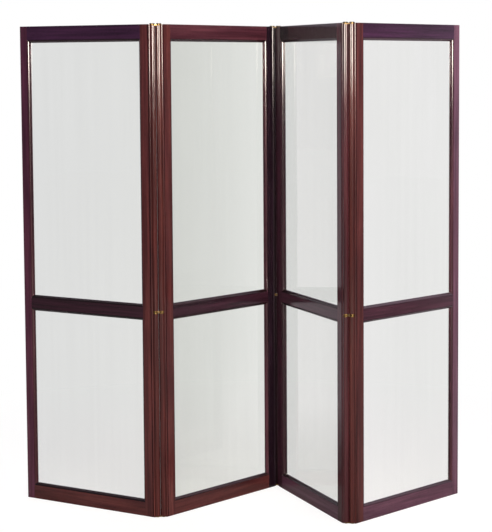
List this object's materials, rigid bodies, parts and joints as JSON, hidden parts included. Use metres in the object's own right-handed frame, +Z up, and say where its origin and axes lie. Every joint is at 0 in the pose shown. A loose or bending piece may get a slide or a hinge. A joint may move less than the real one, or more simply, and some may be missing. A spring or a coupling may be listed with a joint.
{
  "type": "draught screen",
  "caption": "Folding glazed draught screen: framed glass leaves with reeded rolling nosings, joined by double-pivot brass links and standing in a zigzag.",
  "frame": {"origin": "on the floor, at the middle of the bounding box of the standing screen", "axes": "+Z up; +X along the row of leaves, from leaf 1 to leaf 4; -Y towards the front, the side the picture was taken from"},
  "size_m": [1.6836, 0.613, 1.8332],
  "materials": {
    "mahogany": "polished",
    "glass": "clear",
    "brass": "aged"
  },
  "bodies": {
    "leaf_1": {"leaf_1_left_stile": "mahogany", "leaf_1_right_stile": "mahogany", "leaf_1_top_rail": "mahogany", "leaf_1_middle_rail": "mahogany", "leaf_1_bottom_rail": "mahogany", "leaf_1_upper_glass": "glass", "leaf_1_lower_glass": "glass", "leaf_1_front_mouldings": "mahogany", "leaf_1_back_beads": "mahogany", "leaf_1_hinge_yokes": "brass", "leaf_1_hinge_pins": "brass", "leaf_1_top_pivot_screws": "brass", "leaf_1_bottom_pivot_screws": "brass"},
    "leaf_2": {"leaf_2_left_stile": "mahogany", "leaf_2_right_stile": "mahogany", "leaf_2_top_rail": "mahogany", "leaf_2_middle_rail": "mahogany", "leaf_2_bottom_rail": "mahogany", "leaf_2_upper_glass": "glass", "leaf_2_lower_glass": "glass", "leaf_2_front_mouldings": "mahogany", "leaf_2_back_beads": "mahogany", "leaf_2_hinge_yokes": "brass", "leaf_2_hinge_pins": "brass", "leaf_2_top_pivot_screws": "brass", "leaf_2_bottom_pivot_screws": "brass"},
    "leaf_3": {"leaf_3_left_stile": "mahogany", "leaf_3_right_stile": "mahogany", "leaf_3_top_rail": "mahogany", "leaf_3_middle_rail": "mahogany", "leaf_3_bottom_rail": "mahogany", "leaf_3_upper_glass": "glass", "leaf_3_lower_glass": "glass", "leaf_3_front_mouldings": "mahogany", "leaf_3_back_beads": "mahogany", "leaf_3_hinge_yokes": "brass", "leaf_3_hinge_pins": "brass", "leaf_3_top_pivot_screws": "brass", "leaf_3_bottom_pivot_screws": "brass"},
    "leaf_4": {"leaf_4_left_stile": "mahogany", "leaf_4_right_stile": "mahogany", "leaf_4_top_rail": "mahogany", "leaf_4_middle_rail": "mahogany", "leaf_4_bottom_rail": "mahogany", "leaf_4_upper_glass": "glass", "leaf_4_lower_glass": "glass", "leaf_4_front_mouldings": "mahogany", "leaf_4_back_beads": "mahogany", "leaf_4_hinge_yokes": "brass", "leaf_4_hinge_pins": "brass", "leaf_4_top_pivot_screws": "brass", "leaf_4_bottom_pivot_screws": "brass"},
    "link_1_2": {"fold_1_2_links": "brass"},
    "link_2_3": {"fold_2_3_links": "brass"},
    "link_3_4": {"fold_3_4_links": "brass"}
  },
  "joints": [
    {"name": "fold_1_2_link_on_leaf_2", "type": "hinge", "parent": "leaf_2", "child": "link_1_2", "pos_m": [-0.29182, -0.17573, 0], "axis": [0, 0, -1], "range_deg": [-40.4, 49.6]},
    {"name": "fold_1_2_leaf_1_on_link", "type": "hinge", "parent": "link_1_2", "child": "leaf_1", "pos_m": [-0.31587, -0.17919, 0], "axis": [0, 0, -1], "range_deg": [-40.4, 49.6]},
    {"name": "fold_2_3_leaf_3_on_link", "type": "hinge", "parent": "link_2_3", "child": "leaf_3", "pos_m": [0.14678, 0.29054, 0], "axis": [0, 0, -1], "range_deg": [-58.2, 31.8]},
    {"name": "fold_2_3_leaf_2_on_link", "type": "hinge", "parent": "link_2_3", "child": "leaf_2", "pos_m": [0.12282, 0.29459, 0], "axis": [0, 0, 1], "range_deg": [-58.2, 31.8]},
    {"name": "fold_3_4_link_on_leaf_3", "type": "hinge", "parent": "leaf_3", "child": "link_3_4", "pos_m": [0.38369, -0.28998, 0], "axis": [0, 0, 1], "range_deg": [-56.95, 33.05]},
    {"name": "fold_3_4_leaf_4_on_link", "type": "hinge", "parent": "link_3_4", "child": "leaf_4", "pos_m": [0.40755, -0.29456, 0], "axis": [0, 0, 1], "range_deg": [-56.95, 33.05]}
  ],
  "couplings": [
    {"joint": "fold_1_2_link_on_leaf_2", "follows": "fold_1_2_leaf_1_on_link", "ratio": 1},
    {"joint": "fold_2_3_leaf_3_on_link", "follows": "fold_2_3_leaf_2_on_link", "ratio": 1},
    {"joint": "fold_3_4_link_on_leaf_3", "follows": "fold_3_4_leaf_4_on_link", "ratio": 1}
  ]
}
